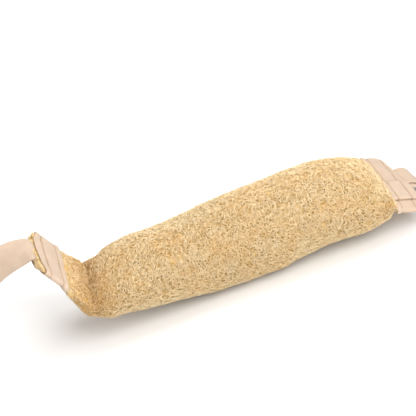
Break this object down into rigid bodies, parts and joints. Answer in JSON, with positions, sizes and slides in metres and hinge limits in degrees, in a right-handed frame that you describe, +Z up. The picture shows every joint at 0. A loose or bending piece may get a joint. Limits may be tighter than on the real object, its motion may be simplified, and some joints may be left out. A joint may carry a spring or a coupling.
{
  "type": "loofah back scrubber",
  "caption": "Tubular natural loofah crushed flat at both ends, each end wrapped in a stitched webbing band and carrying a webbing hand loop for pulling it across the back.",
  "frame": {"origin": "on the surface that the loofah lies on, at the middle of the flat under its body", "axes": "+X along the loofah from its left end to its right end, +Z up out of the surface it lies on"},
  "size_m": [0.6394, 0.0846, 0.092],
  "materials": {
    "luffa_fibre": "matte",
    "luffa_core_fibre": "matte",
    "cotton_webbing": "matte",
    "cotton_thread": "matte"
  },
  "bodies": {
    "loofah": {"loofah_wall": "luffa_fibre", "loofah_core": "luffa_core_fibre"},
    "left_end": {"left_loofah_end": "luffa_fibre", "left_band": "cotton_webbing", "left_strap_tails": "cotton_webbing", "left_inner_stitching": "cotton_thread", "left_outer_stitching": "cotton_thread"},
    "right_end": {"right_loofah_end": "luffa_fibre", "right_band": "cotton_webbing", "right_strap_tails": "cotton_webbing", "right_inner_stitching": "cotton_thread", "right_outer_stitching": "cotton_thread"},
    "left_strap": {"left_strap_loop": "cotton_webbing"},
    "right_strap": {"right_strap_loop": "cotton_webbing"}
  },
  "joints": [
    {"name": "left_end_bend", "type": "hinge", "parent": "loofah", "child": "left_end", "pos_m": [-0.122, 0, 0.0399], "axis": [0.1495, 0.9888, 0], "range_deg": [-60, 22]},
    {"name": "left_strap_swing", "type": "hinge", "parent": "left_end", "child": "left_strap", "pos_m": [-0.1511, 0.01098, 0.08858], "axis": [0.1495, 0.9888, 0], "range_deg": [-50, 95]},
    {"name": "right_end_bend", "type": "hinge", "parent": "loofah", "child": "right_end", "pos_m": [0.1229, 0, 0.0366], "axis": [0.104, -0.9891, -0.1045], "range_deg": [-25, 48]},
    {"name": "right_strap_swing", "type": "hinge", "parent": "right_end", "child": "right_strap", "pos_m": [0.1565, 0.01324, 0.0213], "axis": [0.1045, -0.9945, 0], "range_deg": [-60, 70]}
  ]
}
